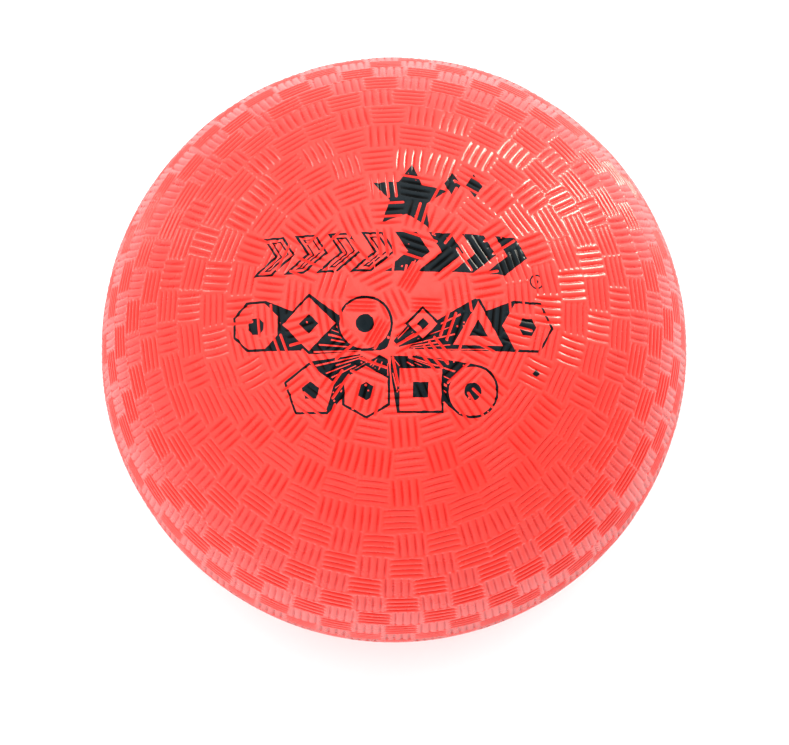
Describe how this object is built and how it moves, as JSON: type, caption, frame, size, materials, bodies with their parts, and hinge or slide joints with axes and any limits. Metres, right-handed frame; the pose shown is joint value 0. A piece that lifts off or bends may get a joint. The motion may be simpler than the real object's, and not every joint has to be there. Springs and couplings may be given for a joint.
{
  "type": "playground rubber ball",
  "caption": "Inflatable rubber playground ball with a moulded basket-weave grip texture and a flush needle valve.",
  "frame": {"origin": "centre of the ball", "axes": "+Y outwards along the inflation valve's axis; +Z through the middle of the printed side"},
  "size_m": [0.1778, 0.1777, 0.1778],
  "materials": {
    "cover_rubber": "glossy coral red rubber with a moulded texture and black print",
    "bladder_rubber": "matt black",
    "patch_rubber": "matt dark grey",
    "valve_rubber": "satin black",
    "core_rubber": "satin black"
  },
  "bodies": {
    "root": {"cover": "cover_rubber", "bladder": "bladder_rubber", "valve_patch": "patch_rubber", "valve_housing": "valve_rubber", "valve_core": "core_rubber"}
  },
  "joints": []
}
